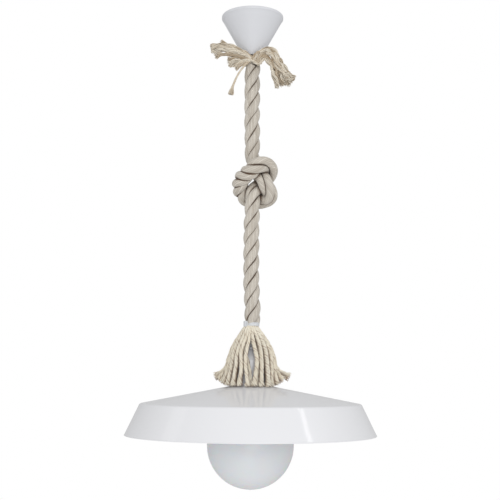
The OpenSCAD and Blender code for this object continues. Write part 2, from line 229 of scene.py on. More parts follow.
def rounded(points, radii, n=5):
    """An outline with each corner rounded; radii is one number or one a corner. The outline is closed."""
    P = np.asarray(points, float)
    R = np.broadcast_to(np.asarray(radii, float), (len(P),))
    out = []
    for i in range(len(P)):
        a, b, c = P[i - 1], P[i], P[(i + 1) % len(P)]
        u, v = a - b, c - b
        lu, lv = np.linalg.norm(u), np.linalg.norm(v)
        u, v = u / lu, v / lv
        ang = math.acos(np.clip(u @ v, -1, 1))
        d = min(R[i] / max(math.tan(ang / 2), 1e-6), 0.45 * lu, 0.45 * lv) if R[i] > 0 else 0
        if d <= 1e-9:
            out.append(b)
            continue
        p0, p1 = b + u * d, b + v * d
        for t in np.linspace(0, 1, n):
            out.append((1 - t) ** 2 * p0 + 2 * t * (1 - t) * b + t**2 * p1)
    return out


def recalc(ob):
    import bmesh
    bm = bmesh.new()
    bm.from_mesh(ob.data)
    bmesh.ops.recalc_face_normals(bm, faces=bm.faces)
    bm.to_mesh(ob.data)
    bm.free()


def bevelled_box(name, size, centre, r=0.4, seg=3, rot=None):
    """A box with rounded edges, sizes in mm."""
    import bmesh
    bm = bmesh.new()
    bmesh.ops.create_cube(bm, size=1.0)
    for v in bm.verts:
        v.co = Vector((v.co.x * size[0] * MM, v.co.y * size[1] * MM, v.co.z * size[2] * MM))
    bmesh.ops.bevel(bm, geom=list(bm.edges), offset=r * MM, segments=seg, profile=0.6, affect="EDGES")
    M = Matrix.Translation(Vector(centre) * MM) @ (rot or Matrix.Identity(4))
    bm.transform(M)
    me = bpy.data.meshes.new(name)
    bm.to_mesh(me)
    bm.free()
    for p in me.polygons:
        p.use_smooth = True
    ob = bpy.data.objects.new(name, me)
    bpy.context.scene.collection.objects.link(ob)
    return ob


def join(name, obs):
    """One object from several, keeping materials."""
    with bpy.context.temp_override(active_object=obs[0], selected_editable_objects=obs, selected_objects=obs, object=obs[0]):
        bpy.ops.object.join()
    obs[0].name = name
    obs[0].data.name = name
    return obs[0]


# ------------------------------------------------------------------ materials
def material(name, colour, rough, metallic=0.0, noise=None, bump=None, **sockets):
    """A principled material. noise is (scale, dark factor, detail), bump is (scale, distance in m, strength, stretch)."""
    m = bpy.data.materials.new(name)
    m.use_nodes = True
    nt = m.node_tree
    b = nt.nodes["Principled BSDF"]
    b.inputs["Base Color"].default_value = (*colour, 1)
    b.inputs["Roughness"].default_value = rough
    b.inputs["Metallic"].default_value = metallic
    for k, v in sockets.items():
        b.inputs[k.replace("_", " ")].default_value = v
    tc = nt.nodes.new("ShaderNodeTexCoord")
    if noise:
        n = nt.nodes.new("ShaderNodeTexNoise")
        n.inputs["Scale"].default_value = noise[0]
        n.inputs["Detail"].default_value = noise[2]
        nt.links.new(tc.outputs["Object"], n.inputs["Vector"])
        r = nt.nodes.new("ShaderNodeValToRGB")
        r.color_ramp.elements[0].position = 0.3
        r.color_ramp.elements[1].position = 0.7
        r.color_ramp.elements[0].color = (*[c * noise[1] for c in colour], 1)
        r.color_ramp.elements[1].color = (*colour, 1)
        nt.links.new(n.outputs["Fac"], r.inputs["Fac"])
        nt.links.new(r.outputs["Color"], b.inputs["Base Color"])
        rr = nt.nodes.new("ShaderNodeMapRange")
        rr.inputs["To Min"].default_value = max(0.0, rough - 0.04)
        rr.inputs["To Max"].default_value = min(1.0, rough + 0.05)
        nt.links.new(n.outputs["Fac"], rr.inputs["Value"])
        nt.links.new(rr.outputs["Result"], b.inputs["Roughness"])
    if bump:
        n2 = nt.nodes.new("ShaderNodeTexNoise")
        n2.inputs["Scale"].default_value = bump[0]
        n2.inputs["Detail"].default_value = 3
        src = tc.outputs["Object"]
        if len(bump) > 3:
            mp = nt.nodes.new("ShaderNodeMapping")
            mp.inputs["Scale"].default_value = bump[3]
            nt.links.new(src, mp.inputs["Vector"])
            src = mp.outputs["Vector"]
        nt.links.new(src, n2.inputs["Vector"])
        bu = nt.nodes.new("ShaderNodeBump")
        bu.inputs["Distance"].default_value = bump[1]
        bu.inputs["Strength"].default_value = bump[2]
        nt.links.new(n2.outputs["Fac"], bu.inputs["Height"])
        nt.links.new(bu.outputs["Normal"], b.inputs["Normal"])
    return m


def cotton(name, light, dark, painted_shade_colour, fibre=9000.0, speck=0.0):
    """Cotton: the tone attribute tints each yarn, the second attribute is painted shade that darkens the grooves, and
    fine noise makes the fibres.
    """
    m = bpy.data.materials.new(name)
    m.use_nodes = True
    nt = m.node_tree
    N = nt.nodes
    L = nt.links
    b = N["Principled BSDF"]
    b.inputs["Roughness"].default_value = 0.92
    b.inputs["Sheen Weight"].default_value = 0.25
    b.inputs["Sheen Roughness"].default_value = 0.5
    b.inputs["Specular IOR Level"].default_value = 0.2
    tc = N.new("ShaderNodeTexCoord")
    at = N.new("ShaderNodeAttribute")
    at.attribute_name = "tone"
    ap = N.new("ShaderNodeAttribute")
    ap.attribute_name = "painted_shade"
    big = N.new("ShaderNodeTexNoise")
    big.inputs["Scale"].default_value = 60
    big.inputs["Detail"].default_value = 4
    L.new(tc.outputs["Object"], big.inputs["Vector"])
    fine = N.new("ShaderNodeTexNoise")
    fine.inputs["Scale"].default_value = fibre / 6
    fine.inputs["Detail"].default_value = 5
    mp = N.new("ShaderNodeMapping")
    mp.inputs["Scale"].default_value = (1, 1, 0.35)
    L.new(tc.outputs["Object"], mp.inputs["Vector"])
    L.new(mp.outputs["Vector"], fine.inputs["Vector"])
    add = N.new("ShaderNodeMath")
    add.operation = "MULTIPLY_ADD"
    add.inputs[1].default_value = 0.55
    L.new(at.outputs["Fac"], add.inputs[0])
    mul = N.new("ShaderNodeMath")
    mul.operation = "MULTIPLY"
    mul.inputs[1].default_value = 0.45
    L.new(big.outputs["Fac"], mul.inputs[0])
    L.new(mul.outputs[0], add.inputs[2])
    mix = N.new("ShaderNodeMix")
    mix.data_type = "RGBA"
    mix.inputs["A"].default_value = (*dark, 1)
    mix.inputs["B"].default_value = (*light, 1)
    L.new(add.outputs[0], mix.inputs["Factor"])
    # painted shade: where the second attribute is low, the darkest colour is mixed in for grooves and hollows
    g = N.new("ShaderNodeMapRange")
    g.inputs["From Min"].default_value = 0.0
    g.inputs["From Max"].default_value = 0.8
    g.inputs["To Min"].default_value = 0.0
    g.inputs["To Max"].default_value = 1.0
    L.new(ap.outputs["Fac"], g.inputs["Value"])
    mix2 = N.new("ShaderNodeMix")
    mix2.data_type = "RGBA"
    mix2.inputs["A"].default_value = (*painted_shade_colour, 1)
    L.new(g.outputs["Result"], mix2.inputs["Factor"])
    L.new(mix.outputs["Result"], mix2.inputs["B"])
    f2 = N.new("ShaderNodeMapRange")
    f2.inputs["To Min"].default_value = 0.86
    f2.inputs["To Max"].default_value = 1.1
    L.new(fine.outputs["Fac"], f2.inputs["Value"])
    fin = N.new("ShaderNodeMix")
    fin.data_type = "RGBA"
    fin.blend_type = "MULTIPLY"
    fin.inputs["Factor"].default_value = 1.0
    L.new(mix2.outputs["Result"], fin.inputs["A"])
    L.new(f2.outputs["Result"], fin.inputs["B"])
    L.new(fin.outputs["Result"], b.inputs["Base Color"])
    bu = N.new("ShaderNodeBump")
    bu.inputs["Distance"].default_value = 0.0004
    bu.inputs["Strength"].default_value = 0.5
    L.new(fine.outputs["Fac"], bu.inputs["Height"])
    L.new(bu.outputs["Normal"], b.inputs["Normal"])
    return m


M_ROPE = cotton("rope_cotton", (0.88, 0.835, 0.755), (0.47, 0.42, 0.35), (0.13, 0.075, 0.042))
M_TIE = cotton("tie_cotton", (1.0, 0.955, 0.84), (0.42, 0.295, 0.16), (0.12, 0.065, 0.03))
M_TASSEL = cotton("tassel_cotton", (1.0, 0.965, 0.86), (0.86, 0.775, 0.61), (0.38, 0.26, 0.18))
M_CUP = material("cup_plastic_white", (0.70, 0.71, 0.742), 0.42, noise=(9, 0.985, 3), bump=(900, 0.00004, 0.25), Coat_Weight=0.08, Coat_Roughness=0.35)
M_SHADE = material("shade_enamel_white", (0.86, 0.865, 0.89), 0.46, noise=(6, 0.99, 2), bump=(260, 0.00003, 0.15), Coat_Weight=0.45, Coat_Roughness=0.085)
M_SHADE_IN = M_SHADE
M_HOLDER = material("holder_plastic_white", (0.80, 0.81, 0.84), 0.28, noise=(30, 0.98, 3), bump=(1500, 0.00002, 0.2))
M_NYLON = material("nylon_white", (0.80, 0.82, 0.85), 0.34, noise=(80, 0.97, 2), bump=(2500, 0.00003, 0.2), Transmission_Weight=0.12)
M_STEEL = material("zinc_plated_steel", (0.62, 0.63, 0.65), 0.34, 1.0, noise=(120, 0.85, 5), bump=(1200, 0.00003, 0.3))
M_BRASS = material("brass_satin", (0.72, 0.52, 0.22), 0.3, 1.0, noise=(90, 0.8, 4), bump=(1400, 0.00002, 0.3))
M_NICKEL = material("nickel_plated", (0.70, 0.69, 0.66), 0.22, 1.0, noise=(80, 0.88, 4), bump=(1400, 0.00002, 0.25))
M_SOLDER = material("solder_grey", (0.50, 0.50, 0.51), 0.4, 1.0, noise=(400, 0.8, 4), bump=(900, 0.0001, 0.4))
M_PVC = material("pvc_white", (0.82, 0.82, 0.80), 0.45, noise=(60, 0.97, 3), bump=(1800, 0.00003, 0.3))
M_CORE = material("pvc_brown", (0.20, 0.09, 0.045), 0.4, noise=(90, 0.85, 3), bump=(1800, 0.00003, 0.3))
M_CERAMIC = material("steatite_cream", (0.78, 0.75, 0.66), 0.5, noise=(200, 0.94, 5), bump=(2200, 0.00005, 0.4))
M_BLACK = material("black_glass", (0.012, 0.012, 0.014), 0.12, noise=(70, 0.8, 2), bump=(700, 0.00002, 0.2), Coat_Weight=0.5)
M_ALU = material("aluminium_satin", (0.76, 0.77, 0.79), 0.36, 1.0, noise=(60, 0.92, 4), bump=(500, 0.00003, 0.3, (1, 1, 12)))
M_COLLAR = material("collar_plastic", (0.82, 0.82, 0.82), 0.4, noise=(60, 0.97, 3), bump=(1600, 0.00003, 0.3))
M_OPAL = material("opal_glass", (0.785, 0.785, 0.81), 0.4, noise=(12, 0.99, 2), bump=(60, 0.00002, 0.1), Coat_Weight=0.25, Coat_Roughness=0.12, Subsurface_Weight=0.35, Subsurface_Scale=0.004)


def put(ob, mat, body, *nodes, slot=None):
    ob.data.materials.clear()
    ob.data.materials.append(mat)
    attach(ob, body)
    if nodes:
        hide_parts(*nodes)
    return ob


# ------------------------------------------------------------------ rope
# route points in mm, top to bottom: the route of the CAD rope, with the knot as plump as the real rope makes it
ROUTE = [
    (0, 0, -30), (0, 0, -50), (0, 0, -70), (0, 0, -90), (0, 0, -110), (0, 0, -130), (0, 0, -150), (0, 0, -165),
    (0.5, 0, -177), (0.5, 1, -189), (0.5, 2, -200.5), (1, 3, -212), (2, 4, -217.5), (4, 3.5, -223), (6, 2.5, -228),
    (8, 0, -233), (11, -3.5, -238), (14.5, -6.5, -241.5), (17, -8, -244.5), (20, -9, -249), (22.5, -8, -254), (24.5, -5.5, -259),
    (25.5, -1.5, -264), (25, 3, -267.5), (22.5, 7, -269.3), (18.5, 10.5, -270), (14, 14, -270.2), (9, 17, -270.3), (3, 18, -270.5),
    (-3, 18.5, -269.5), (-8.5, 17.5, -266), (-13, 15, -262), (-15.5, 10.5, -257.5), (-16.5, 5.5, -253), (-16.5, 0.5, -249),
    (-15.5, -4, -245), (-12.5, -8.5, -241.5), (-8, -13, -238.5), (-3, -17, -235), (2, -19, -231), (7, -19.5, -227), (12.5, -18, -224),
    (18, -14.5, -222.5), (23, -9.5, -223.5), (26, -2.5, -226.5), (26.5, 4.5, -230.5), (25, 10, -235), (22, 13.5, -239), (18, 15, -242.5),
    (13.5, 15, -246), (10, 13, -250), (7, 9, -254), (4.5, 3.5, -258), (3, 0, -262.5), (2, -2, -268), (1.5, -3, -273),
    (1, -3, -279), (1, -2.5, -285), (0.5, -2, -296.5), (0, -0.5, -308.5), (0, 0, -320), (0, 0, -340), (0, 0, -360), (0, 0, -385),
    (1, 0, -410), (2, 0, -428), (2, 0, -440), (2, 0, -447), (1.5, 0, -456),
]
ROPE_D = 0.0229


# how plump the rope is and how long one turn of its lay is, by distance along the route in mm from z = -30
PLUMP = [(0, 0.93), (34, 0.93), (46, 1.0), (150, 1.0), (178, 0.96), (195, 0.93), (215, 0.96), (232, 1.05), (262, 1.1), (280, 1.05), (305, 1.02), (330, 1.05), (345, 1.04), (380, 1.1), (400, 1.1), (420, 1.04), (440, 1.03), (460, 0.95), (480, 0.97), (500, 1.0), (900, 1.0)]
LAY = [(0, 69), (170, 69), (200, 75), (235, 120), (275, 75), (300, 46), (330, 37), (352, 42), (366, 90), (380, 150), (400, 170), (425, 90), (445, 65), (900, 65)]


def rope_line():
    P = np.asarray(ROUTE, float)
    neck = np.interp(P[:, 2], [-456, -453, -449, -446.5, -443], [0.8, 0.78, 0.79, 0.92, 1.0])
    return np.column_stack([P * MM, ROPE_D / 2 * neck])


def crease_shade(P, s):
    """Where one pass of the knotted rope lies against another, painted shade darkens the crease between them."""
    out = np.ones(P.shape[:2])
    near = np.where((P[:, 0, 2] < -0.205) & (P[:, 0, 2] > -0.292))[0]
    line = LINE[::3]
    arc = ARC[::3]
    for i in near:
        far = (np.abs(arc - s[i]) > 0.032) & (line[:, 2] < -0.195) & (line[:, 2] > -0.3)
        if far.any():
            d = np.linalg.norm(P[i][:, None] - line[far][None, :, :3], axis=2) - line[far][None, :, 3]
            out[i] = np.clip(d.min(1) / 0.0042, 0, 1) ** 0.8
    return out


def strands(name, C, s, turn, yarns=12, twist=0.029, start_phase=0.0, sides_per=8):
    """Three laid strands round a centreline; each strand has twisted yarns on its skin."""
    pts, R = C[:, :3], C[:, 3]
    T, N, B = frames_of(pts)
    rs = R / 2.1547 * 1.03
    rh = R - rs
    V, Q, K, TN, SHADE_PAINT = [], [], [], [], []
    sides = yarns * sides_per
    phi = 2 * np.pi * np.arange(sides) / sides
    base = 0
    for k in range(3):
        r = np.random.default_rng(100 + k)
        tones = r.uniform(0.0, 1.0, yarns)
        drift = np.interp(s, np.linspace(s[0], s[-1], 40), r.normal(0, 0.05, 40))
        psi = turn + 2 * np.pi * k / 3 + start_phase + drift
        e = np.cos(psi)[:, None] * N + np.sin(psi)[:, None] * B
        Cs = pts + rh[:, None] * e
        Ts = unit(np.gradient(Cs, axis=0))
        e1 = unit(e - (e * Ts).sum(1, keepdims=True) * Ts)
        e2 = np.cross(Ts, e1)
        theta = phi[None] + 2 * np.pi * s[:, None] / twist
        lobe = np.abs(np.cos(theta * yarns / 2))
        swell = 1 + 0.02 * np.sin(2 * np.pi * s / 0.023 + k)[:, None] + np.interp(s, np.linspace(s[0], s[-1], 120), r.normal(0, 0.012, 120))[:, None]
        # a strand is pressed flat against its neighbours and bulges outwards
        press = 1.0 + 0.05 * np.cos(phi)[None] - 0.03 * np.cos(2 * phi)[None]
        rad = rs[:, None] * press * swell - 0.00085 * (1 - lobe**0.55)
        X = Cs[:, None] + rad[..., None] * (np.cos(phi)[None, :, None] * e1[:, None] + np.sin(phi)[None, :, None] * e2[:, None])
        # laid tight, the strands flatten each other: the outline is nearly round with narrow grooves
        out = X - pts[:, None]
        axial = (out * T[:, None]).sum(2, keepdims=True) * T[:, None]
        out = out - axial
        rho = np.linalg.norm(out, axis=2)
        along = (axial * T[:, None]).sum(2)
        signed = np.arctan2((out * np.cross(T, e)[:, None]).sum(2), (out * e[:, None]).sum(2))
        signed = signed - along * np.gradient(turn, s)[:, None]
        alpha = np.abs(np.degrees(np.arctan2(np.sin(signed), np.cos(signed))))
        full = R[:, None] * swell * (1 - 0.15 * (np.minimum(alpha, 75) / 60) ** 2.5) - 0.0006 * (1 - lobe**0.55)
        loose = np.interp(s, [0.185, 0.21, 0.41, 0.44], [0.34, 0.03, 0.03, 0.34])[:, None]
        w = loose * np.clip((np.cos(phi) + 0.85) / 0.3, 0, 1)[None] * np.clip((80 - alpha) / 18, 0, 1)
        X = pts[:, None] + axial + out * ((rho + w * np.maximum(full - rho, 0)) / np.maximum(rho, 1e-9))[..., None]
        V.append(X.reshape(-1, 3))
        which = np.floor(((theta * yarns / 2 + np.pi / 2) / np.pi)).astype(int) % yarns
        TN.append(np.clip(0.1 + 0.8 * tones[which], 0, 1).ravel())
        # painted shade: the strand's skin darkens where it turns in towards the grooves between strands, in the valleys
        # between its yarns and in the knot's creases
        seam = np.interp(s, [0.185, 0.205, 0.405, 0.43], [58.4, 56.8, 56.8, 58.0])[:, None]
        inward_shade = np.clip((seam - alpha) / 7.5, 0, 1) * np.clip((np.cos(phi)[None] + 0.75) / 0.3, 0, 1)
        SHADE_PAINT.append((np.clip(0.05 + 1.25 * lobe, 0, 1) * (0.02 + 0.98 * inward_shade) * crease_shade(V[-1].reshape(len(s), sides, 3), s)).ravel())
        Q.append(grid_quads(len(s), sides, base))
        K.append([base + sides - 1 - j for j in range(sides)])
        K.append([base + (len(s) - 1) * sides + j for j in range(sides)])
        base += len(s) * sides
    return build(name, np.vstack(V), np.vstack(Q), K, np.concatenate(TN), np.concatenate(SHADE_PAINT))


LINE, ARC = spline(rope_line(), 0.00105)
LINE[:, :3] = smooth_line(LINE[:, :3], 12)
ARC = np.r_[0, np.cumsum(np.linalg.norm(np.diff(LINE[:, :3], axis=0), axis=1))]
LINE[:, 3] *= np.interp(ARC, [a * MM for a, _ in PLUMP], [b for _, b in PLUMP])
TURN = 2 * np.pi * np.r_[0, np.cumsum(np.diff(ARC) / np.interp(ARC[1:], [a * MM for a, _ in LAY], [b * MM for _, b in LAY]))]
PHASE = 1.387


cut_a = int(np.argmin(np.abs(LINE[:, 2] + 0.0365)))
cut_b = int(np.argmin(np.abs(LINE[:, 2] + 0.0662)))
cut_c = int(np.argmin(np.abs(LINE[:, 2] + 0.0738)))
cut_d = int(np.argmin(np.abs(LINE[:, 2] + 0.4535)))


# parallel frames start the same way on each straight length, so the lay runs on through the cuts
def length_of_rope(name, i, j):
    return strands(name, LINE[i : j + 1], ARC[i : j + 1], TURN[i : j + 1], start_phase=PHASE)


rope_upper = length_of_rope("rope_upper", cut_a, cut_b)
rope_mid = length_of_rope("rope_bend_piece", cut_b, cut_c)
rope_lower = length_of_rope("rope_lower", cut_c, cut_d)
put(rope_upper, M_ROPE, "ceiling_mount", "rope_top", slot="cotton_rope")
put(rope_mid, M_ROPE, "rope_bend", "rope_neck", slot="cotton_rope")
put(rope_lower, M_ROPE, "pendant", "rope_hanging", slot="cotton_rope")

# ------------------------------------------------------------------ tassel
def tassel():
    r = np.random.default_rng(5)
    lines, tones, painted_shades = [], [], []
    prof_z = np.array([-537.0, -532, -524, -513, -500, -487, -478, -470, -464, -458, -453, -449])
    prof_r = np.array([35.2, 35.2, 35.0, 33.6, 30.6, 26.4, 22.2, 17.8, 14.4, 11.2, 7.8, 6.4])

    def yarn(az, layer, end_z, flare, width, seed, threads=17, tone=0.0, dark=1.0, bow=(0, 0, 0, 0, 0), mouth=1.2, turns=27, laid=0):
        """az: degrees from the front, one number or one for each of the seven heights from 458 to 530 mm down."""
        z = np.linspace(-450, end_z, 22)
        rad = np.interp(z, prof_z, prof_r)
        rad = rad * (1.0, 0.84)[layer] - (0, 1.0)[layer]
        rad = np.maximum(rad, 4.0)
        low = np.clip((z + 505) / (end_z + 505), 0, 1)
        rad = rad + flare * low**2.0 + np.interp(-z, [458, 475, 495, 515, 532], bow)
        ang = np.interp(-z, [450, 458, 470, 482, 494, 506, 518, 530], np.r_[az[0], az])
        ang = smooth_line(ang[:, None], 2)[:, 0]
        ang = np.radians(ang - 90)
        w = width * np.interp(z, [end_z, end_z + 7, end_z + 14, -500, -475, -462, -450], [mouth, 1.02, 0.96, 1.0, 0.95, 0.72, 0.4])
        route = np.column_stack([rad * np.cos(ang), rad * np.sin(ang), z, w])
        got, t, d = bundle(route, threads, 0.00056, turns, seed, spread_end=1.25, jitter=0.0003, step=1.7, ends=0.003, centre=(0, 0, 0), laid=laid)
        lines.extend(got)
        tones.extend([float(np.clip(0.62 * x + 0.19 + tone, 0, 1)) for x in t])
        # painted shade: a dark factor below 1 darkens the whole yarn
        painted_shades.extend([x * dark for x in d])

    # the yarns in front: azimuth at seven heights, then half width, flare and lowest point
    right = (0.5, 2.0, 2.5, -0.5, -4.0)
    right = (0.5, 2.0, 2.5, 0.0, -3.0)
    fronts = [
        ([-94, -94, -93, -92, -91, -90, -90], 3.6, 16.0, -523.8, (0, 0.5, 0.5, 0, 0), 1.5, 34, 3),
        ([-84, -84, -82, -80, -79, -79, -80], 3.5, 11.0, -528.0, (0, 0.5, 0.5, 0, 0), 1.6, 44, 3),
        ([-73, -74, -71, -69, -68, -68, -69], 3.5, 6.5, -532.0, (0, 0, 0, 0, 0), 1.5, 62, 3),
        ([-60, -62, -58, -57, -54, -55, -57], 3.2, 2.5, -535.0, (0, 0, 0, 0, 0), 1.4, 70, 3),
        ([-37, -40, -42, -43, -38, -40, -42], 3.1, 0.5, -536.2, (0, 0, 0, 0, 0), 1.5, 60, 3),
        ([-20, -23, -30, -29, -23, -23, -26], 2.8, 0.5, -535.6, (0, 0, 0, 0, 0), 1.35, 50, 3),
        ([-9, -8, -12, -15, -14, -10, -7], 2.7, 0.8, -536.2, (0, 0, 0, 0, 0), 1.5, 66, 3),
        ([7, 7, 11, 16, 15, 11, 7], 3.1, 0.5, -536.0, (0, 0, 0, 0, 0), 1.5, 74, 3),
        ([22, 30, 31, 29, 27, 25, 24], 3.1, 1.0, -536.4, (0, 0, 0, 0, -1), 1.4, 60, 3),
        ([42, 49, 49, 46, 43, 43, 43], 3.6, 0.5, -536.6, (0, 0.5, 0.5, 0, -1), 1.3, 80, 3),
        ([60, 66, 64, 61, 58, 58, 60], 3.0, 0.5, -536.4, right, 1.4, 52, 3),
        ([75, 77, 75, 73, 71, 72, 74], 3.4, 5.5, -533.5, right, 1.5, 58, 3),
        ([86, 87, 85, 83, 81, 82, 83], 3.6, 13.0, -529.5, right, 1.6, 44, 3),
        ([97, 97, 95, 93, 92, 91, 91], 3.7, 21.0, -524.0, right, 1.6, 34, 3),
    ]
    for i, (az, w, flare, end, bow, mouth, turns, laid) in enumerate(fronts):
        yarn(az, 0, end, flare, w, 200 + i, 22, r.normal(0, 0.12), 1.0, bow, mouth, turns, laid)
    for i in range(12):
        az = 106 + i * 13.4 + r.normal(0, 1.2)
        sway = 3.5 * np.sin(np.linspace(0, 4.5, 7) + r.uniform(0, 6))
        yarn(list(az + sway), 0, -534.5 - r.uniform(0, 1.8), r.uniform(0, 3.0), r.uniform(3.4, 3.9), 240 + i, 18, r.normal(0, 0.1), turns=r.uniform(50, 70), laid=3)
    # the inner layer behind the front yarns: painted shade dims it (dark 0.42)
    for i in range(18):
        deg = (i + 0.5) * 20
        if min(deg, 360 - deg) < 15:
            continue
        az = deg + r.normal(0, 2) + 3 * np.sin(np.linspace(0, 4, 7) + r.uniform(0, 6))
        yarn(list(az), 1, -535.5 - r.uniform(0, 1.0), 0.5, r.uniform(2.9, 3.3), 300 + i, 12, 0.0, 0.42)
    # two short yarns that cross low down in front of the lampholder
    for k, az in enumerate(([-40, -34, -26, -16, -7, -2, 0], [52, 44, 34, 26, 20, 16, 15])):
        yarn(az, 1, -536.0, 3.0, 2.6, 330 + k, 12, 0.1, 0.8)
    return lines, tones, painted_shades


lines, tones, painted_shades = tassel()
tassel_ob = tubes("tassel_yarns", lines, 5, tones, painted_shades)
put(tassel_ob, M_TASSEL, "pendant", "tassel", slot="tassel_cotton")

# ------------------------------------------------------------------ yarn tie
def tie():
    lines, tones, painted_shades = [], [], []
    r0 = np.random.default_rng(77)

    def add(route, count, tr, seed, turns=8, spread=1.3, ends=0.006, jit=0.0004, light=0.0, crimp=0.0002):
        got, t, d = bundle(route, count, tr, turns, seed, spread_end=spread, jitter=jit, step=1.1, ends=ends, crimp=crimp)
        lines.extend(got)
        painted_shades.extend(d)
        tones.extend([float(np.clip(x + light, 0, 1)) for x in t])

    def locks(route, count, seed, lock_r=1.5, threads=10, wave=1.2, turns=3.0, ends=5.0, fray=1.5, tint=0.0):
        """A hank as separate wavy locks of yarn, each a small bundle of threads with a splayed end."""
        r = np.random.default_rng(seed)
        C, s = spline(np.asarray(route, float), 3.0)
        pts, rad = C[:, :3], C[:, 3]
        T, N, B = frames_of(pts)
        for i in range(count):
            rr = math.sqrt((i + 0.5) / count)
            a = i * 2.39996 + r.normal(0, 0.2) - 2 * math.pi * turns * s * MM
            R = np.maximum(rad - lock_r * 0.7, 0.3) * rr
            lam = r.uniform(15, 26)
            grow = np.clip(s / 15, 0, 1) * wave
            ph = r.uniform(0, 6.28, 2)
            u = R * np.cos(a) + grow * np.sin(2 * np.pi * s / lam + ph[0])
            v = R * np.sin(a) + grow * np.sin(2 * np.pi * s / (lam * 1.2) + ph[1])
            q = pts + u[:, None] * N + v[:, None] * B
            n = max(5, len(q) - int(r.uniform(0, ends) / 3.0))
            w = lock_r * r.uniform(0.8, 1.15) * np.interp(np.arange(n) / (n - 1), [0, 0.15, 0.75, 1.0], [0.6, 1.0, 1.0, fray])
            add(np.column_stack([q[:n], w]), threads, 0.00042, seed * 50 + i, turns=22, spread=1.25, ends=0.003, jit=0.00025, light=r.normal(0.12, 0.45) + tint, crimp=0.00012)

    # wraps round the rope under the cup
    for k, (z0, rr) in enumerate(((-63.8, 13.5), (-66.2, 13.9), (-68.6, 13.6))):
        a = np.linspace(-math.pi * 0.45, math.pi * 1.45, 26)
        w = np.column_stack([rr * np.cos(a), rr * np.sin(a), z0 + 1.0 * np.sin(a * 0.5 + k), np.full(26, 1.3)])
        add(w, 9, 0.0005, 400 + k, turns=20, spread=1.0, ends=0.0, jit=0.0002, crimp=0.0)
    # the crossing in front of the rope: yarns run from upper left to lower right, and the right bundle rises out of it
    for k, (dx, dz) in enumerate(((0, 0), (1.2, 2.4), (-1.0, -2.4))):
        add([(-7 + dx, -16.2, -66 + dz, 1.5), (-2 + dx, -17.6, -68.6 + dz, 1.8), (3 + dx, -18.0, -71.0 + dz, 1.9), (7 + dx, -17.0, -73.2 + dz, 1.9), (11 + dx, -14.5, -74.4 + dz, 1.7)], 13, 0.00046, 410 + k, turns=60, spread=1.0, ends=0.0, light=r0.normal(-0.3, 0.2))
    for k, (dx, dz) in enumerate(((0, 0), (3.0, -1.6), (6.2, -3.4), (9.0, -6.0), (11.0, -9.0))):
        add([(-2 + dx, -16.0, -72 + dz * 0.4, 1.6), (0.5 + dx, -19.0, -67.5 + dz, 2.0), (4 + dx, -20.4, -63.4 + dz, 2.1), (8.5 + dx, -20.0, -60.4 + dz, 2.2), (13.5 + dx, -18.5, -59.4 + dz, 2.2)], 14, 0.00046, 420 + k, turns=60, spread=1.0, ends=0.0, light=r0.normal(-0.15, 0.3))
    band = len(lines)
    # left hank: long smooth locks with a blunt end, a lobe above them and wisps below
    locks([(1, -16.5, -69.5, 2.2), (-8, -18, -65, 3.2), (-19, -18.5, -60.2, 4.2), (-31, -18, -56, 5.2), (-42, -17, -53.4, 5.8), (-52, -16.5, -52.8, 6.6), (-60.5, -16, -53.8, 7.2)], 12, 430, 1.7, 11, 0.7, 2.0, 2.0, 1.35)
    locks([(0, -16, -67.5, 1.8), (-9, -18, -61.5, 2.4), (-20, -18.5, -55.8, 3.0), (-32, -18, -50.8, 3.6), (-41, -17.5, -47.6, 4.6), (-46.5, -17, -45.6, 5.2)], 6, 431, 1.6, 10, 1.0, 2.0, 3.0, 1.6)
    locks([(-27, -18, -59.5, 2.0), (-37, -18.5, -62.0, 2.8), (-46, -18.5, -63.5, 3.6), (-54, -18, -67.0, 3.8)], 4, 432, 1.4, 8, 1.2, 2.0, 6.0, 1.9)
    # painted shadow: this group of locks is toned dark (tint -0.55) to stand for the shadow across the hank
    locks([(0, -16, -69, 2.0), (-9, -17, -67.6, 2.8), (-18, -17.5, -65.8, 3.2), (-28, -17.5, -64.4, 3.4), (-38, -17.5, -62, 3.2)], 5, 433, 1.4, 9, 0.6, 2.0, 5.0, 1.4, tint=-0.55)
    locks([(-22, -18, -57.5, 2.4), (-34, -18, -54, 3.0), (-45, -17, -51.5, 3.0), (-54, -16.5, -52.0, 2.8)], 4, 434, 1.4, 9, 0.8, 2.0, 5.0, 1.4, tint=-0.2)
    left_a = len(lines)
    locks([(0, -16, -71, 1.8), (-9, -17.5, -71.2, 3.2), (-18, -18.5, -72.2, 4.8), (-27, -18.5, -74.0, 6.4), (-35.5, -18.5, -75.2, 7.8)], 9, 440, 1.5, 10, 1.2, 2.0, 4.0, 1.9)
    locks([(-3, -16, -72.5, 1.4), (-11, -17.5, -75.5, 2.4), (-19, -18.5, -79.5, 3.6), (-26, -18.5, -83.5, 4.6)], 4, 441, 1.4, 9, 1.0, 2.0, 3.0, 1.9)
    left_b = len(lines)
    # thin tail with a flared end
    add([(-5, -16, -73, 1.3), (-10, -17.5, -78, 1.4), (-16, -18, -85.5, 1.4), (-21, -18, -93.5, 1.3), (-25.5, -17.8, -103.5, 1.5), (-28.4, -17.8, -111.5, 2.0), (-30, -17.6, -118, 3.8), (-30.8, -17.4, -122.6, 4.4)], 34, 0.00052, 450, turns=10, spread=1.0, ends=0.0004, jit=0.0002, crimp=0.0001, light=-0.1)
    tail = len(lines)
